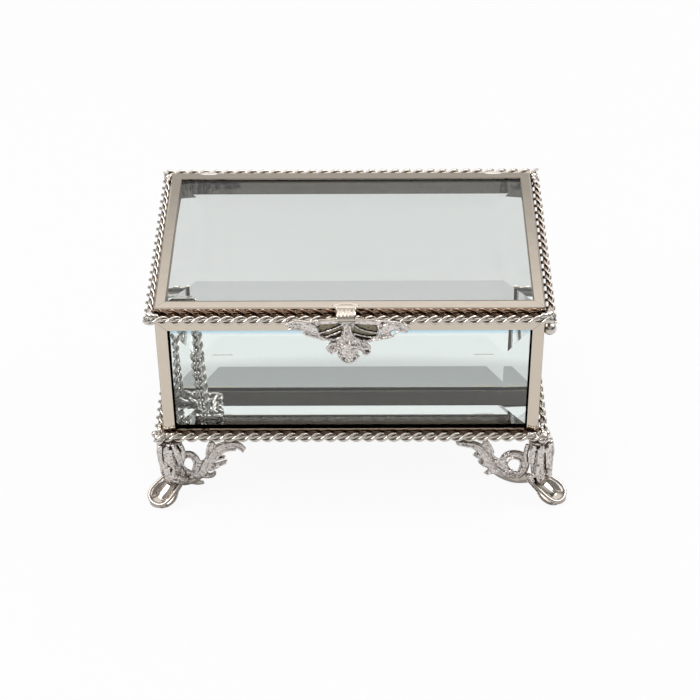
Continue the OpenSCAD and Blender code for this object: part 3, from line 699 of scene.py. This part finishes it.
def toe(ankle, heading):
    """The spoon-shaped toe, drawn lying flat with X from the ankle to the tip, then tipped down."""
    droop, ankle_height = 31, 8.3
    rim = even(0.8,
        [(-3.6, 4, -0.4), (0, 4.7, 0.1), (4, 5.4, 0.6), (8, 5.8, 0.9), (11.6, 4.4, 1), (13, 0, 1),
            (11.6, -4.4, 1), (8, -5.8, 0.9), (4, -5.4, 0.6), (0, -4.7, 0.1), (-3.6, -4, -0.4)])
    middle = [[(-4, 0, 0, 2.9), (0, 0, 0, 3.2), (4, 0, 0, 3.6), (7.6, 0, 0, 3.3), (9.6, 0, 0, 2.2)]]
    tongue = shaped(bars(middle), Matrix.Translation((0, 0, -1.1 * MM)) @ Matrix.Diagonal((1, 1, 0.5, 1)))
    neck = [[(-4.4, 0, 0, 4.5), (0, 0, 0, 5.1), (6, 0, 0, 5.8)]]
    plate = shaped(bars(neck), Matrix.Translation((0, 0, -1.7 * MM)) @ Matrix.Diagonal((1, 1, 0.14, 1)))
    lip = blob((6.6, 0, -1.8), (6.8, 6.8, 1))
    spoon = join([bars(rim), tongue, plate, lip])
    tilt = about_z(heading) @ Matrix.Rotation(math.radians(droop), 4, "Y")
    shaped(spoon, Matrix.Translation(Vector((*ankle, ankle_height)) * MM) @ tilt)
    sole_reach, sole_r, sole_half_h = 8, 4.4, 1.75
    ahead = about_z(heading) @ Vector((sole_reach, 0, 0))
    sole = blob(Vector((*ankle, sole_half_h)) + ahead, (sole_r, sole_r, sole_half_h))
    return [spoon, sole]


def foot_casting(top, ankle, heading):
    """A whole foot at the front left corner: where its block starts, its ankle and the toe's heading."""
    return cast([*first_wing(), *second_wing(), *corner_block(top, ankle), *toe(ankle, heading)], FOOT_GRAIN)


def feet():
    """The first casting stands on one diagonal, and the second, with another toe, on the other."""
    castings = (foot_casting((0.7, -0.2), (2, -2), 226), foot_casting((-0.2, -1.6), (-2, -2.2), 240))
    for number, (corner, (side_x, side_y)) in enumerate(CORNERS.items()):
        place = Matrix.Translation((side_x * HALF_W, side_y * HALF_D, 0))
        foot = shaped(twin(castings[number % 2]), place @ about_z(90 * number))
        settle(foot, f"foot_{corner}_cast", "box", CASTING, "plated_casting", "foot_" + corner)
    for casting in castings:
        bpy.data.objects.remove(casting)


def lift_front():
    """The lift's pierced front, drawn with x from its middle and z from the lid's top."""
    body = [
        [(-24.4, -6, 1.3), (-22, -4.7, 2), (-19, -4.8, 2.5), (-16, -6.3, 3), (-14, -8, 2.2)],
        [(-17.4, -8.8, 1.2), (-14, -10.2, 1.2), (-10, -12, 1.2)],
        [(24.7, -7.9, 1.2), (22, -5.8, 1.8), (18.5, -5.4, 2.6), (15.5, -7, 3), (14.4, -9, 2)],
        [(17.7, -10.2, 1.3), (14.5, -11.4, 1.2), (11.5, -12.3, 1)],
        [(-13.6, -3.9, 1.4), (-7.6, -3.4, 1.6), (-2.6, -2.9, 1.8), (3, -3, 1.8), (7.5, -3.8, 1.6),
            (13.6, -4.2, 1.5)],
        [(-12.9, -6, 1.1), (-12.7, -9.3, 1), (-10.1, -12, 0.9), (-6.2, -13, 0.9), (-2.3, -11.4, 1),
            (-0.6, -8, 1.4), (-0.4, -4, 1.6)],
        [(-0.4, -7, 1.4), (1, -9.4, 1), (3.4, -12.3, 0.9), (7.7, -13.8, 0.9), (11.5, -12.7, 0.9),
            (13.4, -9, 1), (12.8, -5.5, 1.1)],
        [(-1.4, -13.2, 2.4), (-4.6, -15.4, 3), (-6.4, -16.8, 2.5), (-6.4, -18, 1.8)],
        [(2, -13.4, 2.4), (5, -15.4, 3), (7, -17, 2.5), (7.2, -19, 1.8)],
        [(-0.3, -9.5, 2), (-0.2, -14, 4), (0.2, -18.5, 4.6), (0.4, -20.6, 4), (0.6, -22.6, 2.4)],
    ]
    relief_lines = even(0.5,
        [(-12.2, -2.5), (-7.6, -2.3), (-2.6, -1.6), (3.5, -1.8), (11.5, -2.6)],
        [(-25.3, -4.9), (-22.9, -3), (-19.9, -2.5), (-16.4, -3.2), (-13, -2.8)],
        [(-24.2, -7.4), (-21.5, -6.6), (-18.6, -7.2), (-17.6, -9.6), (-13.9, -10.8), (-9.3, -12.6)],
        [(-19.6, -5.4), (-16.4, -3.9), (-13.2, -5), (-12.6, -8), (-13.8, -9)],
        [(-23.4, -5.6), (-20.6, -4.4), (-18, -5.4), (-16, -7.6)],
        [(25.4, -7), (22.7, -4.4), (19.2, -3.2), (13, -2.8)],
        [(24.3, -8.9), (20.9, -7), (18.7, -10.9), (15, -11.6), (11.5, -12.6)],
        [(21.5, -5.8), (17.8, -4.4), (14.6, -5.4), (14, -8), (15.4, -9.4)],
        [(-12.6, -6), (-12.6, -9.3), (-10.1, -11.8), (-6.2, -12.8), (-2.3, -11), (-1, -8), (-1.4, -5)],
        [(0.9, -5), (0.8, -8.8), (3.4, -12), (7.7, -13.6), (11.5, -12.5), (13.3, -9), (12.5, -5.6)])
    petals = even(0.55,
        [(-4.7, -13.6), (-7.8, -14.4), (-8.9, -17.1), (-6.3, -19.4)],
        [(-3.4, -14.6), (-6.6, -16.6), (-5.6, -18.8)],
        [(5.4, -13.2), (8.5, -14.2), (9.4, -17.2), (8.2, -20.3), (6.4, -19.4)],
        [(3.8, -14.6), (7, -16.6), (6.8, -19)],
        [(-4, -18.8), (-3.4, -22), (-0.5, -24.2), (2.6, -23.7), (4.7, -20.2)],
        [(-1.8, -19.5), (-0.6, -22), (1.6, -22), (2.8, -19.6)])
    folds = even(0.4,
        [(-12.4, -9.6), (-8, -8.4), (-4, -6.4), (-1.2, -4.6)], [(-10.4, -11.8), (-6.6, -10.6), (-2.6, -8.2)],
        [(1.6, -4.8), (4.4, -7), (8, -8.8), (12.6, -9.6)], [(2.6, -9.6), (7, -11.6), (11, -11.6)])
    star_z, star_points, star_turn = -15.6, 7, 12
    star = []
    for point in range(star_points):
        way = math.radians(point * 360 / star_points + star_turn)
        star.append([(math.cos(way) * reach, math.sin(way) * reach + star_z, radius)
            for reach, radius in ((0.9, 0.75), (3.3, 0.35))])
    tips = [blob((along, -1.1, height), (radius, 0.8, radius)) for along, height, radius in (
        (-7.4, -16.6, 1), (-5.4, -18, 0.9), (-5, -15.2, 0.9), (7.8, -16.4, 1), (6.8, -19, 0.9),
        (5.2, -15.4, 0.9), (-2.4, -20.4, 0.9), (2.8, -20.2, 0.9), (0.4, -22.6, 0.9), (-0.6, -20.6, 0.8),
        (1.4, -18.8, 0.8))]
    heart = blob((-0.2, -1.6, star_z), (1, 0.8, 1))
    layers = [relief(rows, out, thin, "front") for rows, out, thin in (
        (body, 0, 0.42), (relief_lines, 0.75, 0.9), (petals, 1.3, 0.9), (star, 1.9, 1), (folds, 0.2, 0.8))]
    return join([*tips, *layers, heart])


def lift_tab():
    """The fluted roll over the lid's edge and the tab it ends in, with y from the foremost face."""
    roll = [[(x, 7.2, -0.6, 1.1), (x, 4.6, -0.4, 1.1), (x * 0.95, 2.4, -0.8, 1.2), (x * 0.88, 1.1, -2, 1.2),
        (x * 0.8, 1, -3.6, 1)] for x in (-3.9, -2.3, -0.7, 0.9, 2.5)]
    tab = [
        [(-7.6, 6, 0.1, 0.5), (-3, 6.2, 0.25, 0.55), (3, 6.2, 0.25, 0.55), (5.9, 5.8, 0.1, 0.5)],
        [(-6, 7.2, 0, 0.6), (-2.4, 9.1, 0.1, 0.5), (1.4, 9, 0.1, 0.5), (4.6, 7.4, 0, 0.6)],
    ]
    return join([bars(roll), bars(tab), blob((-0.9, 7.4, 0), (5.6, 2.1, 0.5))])


def lift():
    """The cast lift in the middle of the lid's front, and the hollow behind its openings, in painted shade."""
    low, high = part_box("front_lift")
    place = Matrix.Translation(((low.x + high.x) / 2, 0, LID_TOP))
    foremost = Matrix.Translation((0, low.y, 0))
    set_back = Matrix.Translation((0, low.y + 1.6 * MM, 0))
    piece = cast([shaped(lift_front(), set_back), shaped(lift_tab(), foremost)], LIFT_GRAIN, 1)
    settle(shaped(piece, place), "front_lift_cast", "lid", CASTING, "plated_casting", "front_lift")
    hollow = [
        [(-12.2, -6.4, 2.2), (-9, -8.4, 4.4), (-5.4, -8.8, 4.5), (-2.6, -7.4, 3)],
        [(2.4, -7.6, 3), (5.4, -9.2, 4.5), (9, -9.2, 4.4), (12.2, -7.2, 2.4)],
    ]
    back = cast([relief(hollow, -0.55, 0.08, "front")], LIFT_GRAIN, 1)
    settle(shaped(back, place @ set_back), "front_lift_recess", "lid", SHADED_RECESS, "plated_casting")


feet()
lift()


# Solder

# How far the middle of the rope is from its wall, and each hinge from the middle, in millimetres
ROPE_OUT = 2.3
HINGE_X = 63.5


def wall_lumps(corner, middle, rows, flat):
    """Lumps along both walls of a corner. Rows give how far along, out and up they are, and the radius."""
    side_x, side_y = CORNERS[corner]
    lumps = []
    for along, out, up, radius in rows:
        level = middle + up
        from_side = side_x * (HALF_W / MM + ROPE_OUT - along)
        from_front = side_y * (HALF_D / MM + ROPE_OUT - along)
        lumps.append(blob((from_side, side_y * (HALF_D / MM + out), level), (radius, radius * flat, radius)))
        lumps.append(blob((side_x * (HALF_W / MM + out), from_front, level), (radius * flat, radius, radius)))
    return lumps


def corner_solder():
    """The solder where the ropes meet at the corners."""
    for level, body in ROPE_BODY.items():
        low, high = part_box(level + "_rope_front")
        middle = (low.z + high.z) / 2 / MM
        for corner, (side_x, side_y) in CORNERS.items():
            x, y = side_x * (HALF_W / MM + ROPE_OUT), side_y * (HALF_D / MM + ROPE_OUT)
            lumps = [
                blob((x, y, middle), (2.1, 1.7, 1.8), 45 * side_x * side_y),
                blob((x - side_x * 1.9, y + side_y * 0.3, middle - 0.3), (1.5, 1.3, 1.5)),
                blob((x + side_x * 0.2, y - side_y * 2, middle + 0.2), (1.3, 1.5, 1.6)),
            ]
            if level == "base":
                rows = ((4, 1.9, 0.9, 1.2), (6, 2.2, 1.2, 1.1), (8, 2, 0.4, 1), (5, 2.3, -0.4, 1.1))
                lumps += wall_lumps(corner, middle, rows, 0.8)
                lumps.append(blob((x + side_x * 1.6, y - side_y * 1.2, middle + 0.8), (1.5, 1.6, 1.5)))
                lumps.append(blob((x - side_x * 0.6, y + side_y * 1.4, middle - 1), (1.6, 1.4, 1.6)))
            else:
                rows = ((0.6, 1, 1.6, 1.7), (3.2, 1.6, 1.2, 1.5), (5, 2.2, 0.5, 1.2))
                lumps += wall_lumps(corner, middle, rows, 0.9)
            settle(cast(lumps, SOLDER_GRAIN), f"{level}_solder_{corner}", body, WIRE, "plated_wire")


def hinge_solder():
    """A flat drop of solder on the lid's back edge, over each hinge."""
    sunk = 0.4
    for side, sign in (("left", -1), ("right", 1)):
        seat = blob((sign * HINGE_X, HALF_D / MM - sunk, LID_TOP / MM - sunk), (4.6, 1.5, 0.8))
        pick(seat)
        bpy.ops.object.shade_smooth()
        settle(seat, "hinge_solder_" + side, "lid", WIRE, "plated_wire")


corner_solder()
hinge_solder()


# Lid strips and hinges

NEAR = 0.01 * MM
LID_ROUNDING = 0.62 * MM
LEAF_CUT = 1.6 * MM


def round_lid_strips():
    """The lid's strips with their long outer edge rounded over."""
    for side in ("front", "back", "left", "right"):
        node = "lid_strip_" + side
        strip = merged_copy(node)
        points = [strip.matrix_world @ corner.co for corner in strip.data.vertices]
        axis, reach = (1, HALF_D) if side in ("front", "back") else (0, HALF_W)
        on_edge = [point.z > LID_TOP - NEAR and abs(abs(point[axis]) - reach) < NEAR for point in points]
        for edge in strip.data.edges:
            edge.select = all(on_edge[index] for index in edge.vertices)
        bpy.ops.object.mode_set(mode="EDIT")
        bpy.ops.mesh.select_mode(type="EDGE")
        bpy.ops.mesh.bevel(offset=LID_ROUNDING, segments=5, affect="EDGES")
        bpy.ops.object.mode_set(mode="OBJECT")
        smooth(strip, 10)
        settle(strip, node + "_rounded", "lid", STRIP, "plated_strip", node)


def short_leaves():
    """The hinges' lower leaves, cut so that they end above the lower edge of the strip they are on."""
    for side in ("left", "right"):
        node = "hinge_body_leaf_" + side
        leaf = merged_copy(node)
        cut(leaf, (0, 0, OPEN_TOP + LEAF_CUT), (0, 0, -1))
        settle(leaf, node + "_short", "box", STRIP, "plated_strip", node)


round_lid_strips()
short_leaves()


# Chain

LINK_REACH = 3.34
LINK_HALF_W = 2.1
LINK_WIRE_R = 0.8
LINK_STEPS = 18


def link(start, end):
    """One link along X whose plane turns from one angle at its start to another at its end, in degrees."""
    row = []
    for step in range(LINK_STEPS):
        around = 2 * math.pi * step / LINK_STEPS
        along = math.cos(around)
        turn = math.radians(start + (end - start) * (along + 1) / 2)
        across = math.sin(around) * LINK_HALF_W
        row.append((along * LINK_REACH, across * math.cos(turn), across * math.sin(turn), LINK_WIRE_R))
    return bars([row], closed=True)


def packed_links(node, heading):
    """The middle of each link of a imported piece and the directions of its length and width, in order."""
    merged_copy(node)
    bpy.ops.object.transform_apply(location=True, rotation=True, scale=True)
    bpy.ops.object.mode_set(mode="EDIT")
    bpy.ops.mesh.select_all(action="SELECT")
    bpy.ops.mesh.separate(type="LOOSE")
    bpy.ops.object.mode_set(mode="OBJECT")
    found = []
    for part in list(bpy.context.selected_objects):
        points = numpy.array([corner.co for corner in part.data.vertices])
        middle = (points.min(axis=0) + points.max(axis=0)) / 2
        axes = numpy.linalg.svd(points - points.mean(axis=0), full_matrices=False)[2]
        found.append((Vector(middle), Vector(axes[0]), Vector(axes[1])))
        bpy.data.objects.remove(part)
    return sorted(found, key=lambda each: each[0].dot(heading))


def curb_run(node, body, heading):
    """A packed run of the chain again, with twisted links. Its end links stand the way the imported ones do."""
    links = packed_links(node, heading)
    middles = [middle for middle, length, width in links]
    last = len(links) - 1
    way = middles[last] - middles[0] if last else links[0][1] * links[0][1].dot(heading)
    way.normalize()
    widths = (links[0][2], links[last][2])
    across, end_across = [(width - way * width.dot(way)).normalized() for width in widths]
    turned = math.degrees(math.atan2(way.dot(across.cross(end_across)), across.dot(end_across)))
    flat_first = last % 2 == 0
    extra = (turned - (0 if flat_first else 90) + 90) % 180 - 90
    flat = link(0, 0)
    curb = link(90, 180) if flat_first else link(0, 90)
    face = Matrix((way, across, way.cross(across))).transposed().to_4x4()
    pieces = []
    for index, middle in enumerate(middles):
        spin = Matrix.Rotation(math.radians(extra * index / max(last, 1)), 4, "X")
        kind = flat if flat_first and index == 0 else curb
        pieces.append(shaped(twin(kind), Matrix.Translation(middle) @ face @ spin))
    for kind in (flat, curb):
        bpy.data.objects.remove(kind)
    run = join(pieces)
    pick(run)
    bpy.ops.object.shade_smooth()
    settle(run, node + "_curb", body, CHAIN, "plated_wire", node)


def chain():
    """The chain's five runs, and the way in which each goes from the lid's end to the wall's."""
    runs = {
        "chain_strand_down": (0, 0, -1),
        "chain_link_across": (1, 0, 0),
        "chain_turn": (0, 1, 0),
        "chain_run_back": (-1, 0, 0),
        "chain_strand_up": (0, 0, 1),
    }
    for number, (node, heading) in enumerate(runs.items(), 1):
        curb_run(node, f"chain_{number}", Vector(heading))


chain()


# Studio

def studio_floor():
    """A pale floor that the camera sees as nearly pure white."""
    bpy.ops.mesh.primitive_plane_add(size=8, location=(0, 0, 0))
    floor = bpy.context.object
    floor.name = "floor"
    finish = Finish("pale_floor", Roughness=0.9, Specular_IOR_Level=0.0)
    finish.set("Base Color", (0.73, 0.73, 0.725, 1))
    seen = finish.node("LightPath", output="Is Camera Ray")
    white = finish.node("Emission", inputs={"Color": (1, 1, 1, 1), "Strength": 1.0})
    finish.blend(seen * 0.93, white)
    floor.data.materials.append(finish.material)


def studio_world():
    """White backdrop. What shines sees a dimmer band low over the back, and darker sides and front."""
    world = bpy.data.worlds.new("studio")
    bpy.context.scene.world = world
    world.use_nodes = True
    nodes = Nodes(world.node_tree)
    output = nodes.tree.nodes.new("ShaderNodeOutputWorld")
    way = nodes.node("TexCoord", output="Generated")
    across, forward, upward = [nodes.node("SeparateXYZ", inputs={0: way}, output=axis) for axis in "XYZ"]
    camera, glossy, through = [nodes.node("LightPath", output=f"Is {ray} Ray")
        for ray in ("Camera", "Glossy", "Transmission")]
    # The upward part of the direction seen, and how bright the back wall is there
    levels = ((0.497, 1.1), (0.527, 0.46), (0.552, 0.48), (0.5735, 0.68), (0.6, 0.88), (0.6115, 1.06),
        (0.6217, 1.06), (0.6235, 0.82), (0.633, 0.82), (0.65, 1.15))
    bands = {"stops": [(height, (level, level, level, 1)) for height, level in levels]}
    back = nodes.node("ValToRGB", bands, {0: upward})
    front = forward.step(-0.12, -0.35) * upward.step(-0.05, 0.12)
    sides = abs(across).step(0.22, 0.55) * upward.step(0.62, 0.5)
    overhead = upward.step(0.9, 0.98) * 0.25
    shiny = back * (1 - front * 0.6) * (1 - sides * 0.75) + overhead
    shown = camera.math("MAXIMUM", through).math("MAXIMUM", glossy)
    shines = glossy.math("MAXIMUM", through) * (1 - camera)
    strength = shown * (shines * shiny + (1 - shines)) + (1 - shown) * 0.62
    light = nodes.node("Background", inputs={"Color": (1, 1, 1, 1), "Strength": strength})
    nodes.put(output.inputs["Surface"], light)


def softbox(name, place, size, power):
    """A square lamp that is turned to the middle of the box."""
    bpy.ops.object.light_add(type="AREA", location=place)
    light = bpy.context.object
    light.name = name
    light.data.shape = "RECTANGLE"
    light.data.size = light.data.size_y = size
    light.data.energy = power
    light.rotation_euler = (Vector((0, 0, 0.04)) - Vector(place)).to_track_quat("-Z", "Y").to_euler()


def studio_camera():
    """The photograph's view: where the camera stands, what it looks at, its roll and its focal length."""
    place = Vector((8.686, -692.743, 586.536)) * MM
    target = Vector((-0.6, 0, 39.45)) * MM
    roll = math.radians(-0.631)
    focal_px, frame_px = 1977.17, 700
    camera = bpy.data.cameras.new("camera")
    camera.sensor_width = 36
    camera.lens = focal_px * camera.sensor_width / frame_px
    camera.clip_start, camera.clip_end = 0.01, 50
    seen = bpy.data.objects.new("camera", camera)
    bpy.context.scene.collection.objects.link(seen)
    back = (place - target).normalized()
    right = Vector((0, 0, 1)).cross(back).normalized()
    up = back.cross(right)
    tilted_right = right * math.cos(roll) + up * math.sin(roll)
    tilted_up = up * math.cos(roll) - right * math.sin(roll)
    turn = Matrix((tilted_right, tilted_up, back)).transposed().to_4x4()
    seen.matrix_world = Matrix.Translation(place) @ turn
    bpy.context.scene.camera = seen


studio_floor()
studio_world()
softbox("softbox_left", (-0.9, -0.2, 0.9), 0.7, 8)
softbox("softbox_right", (0.9, 0.3, 0.8), 0.6, 5)
studio_camera()
bpy.context.scene.view_settings.view_transform = "Standard"

fresh()
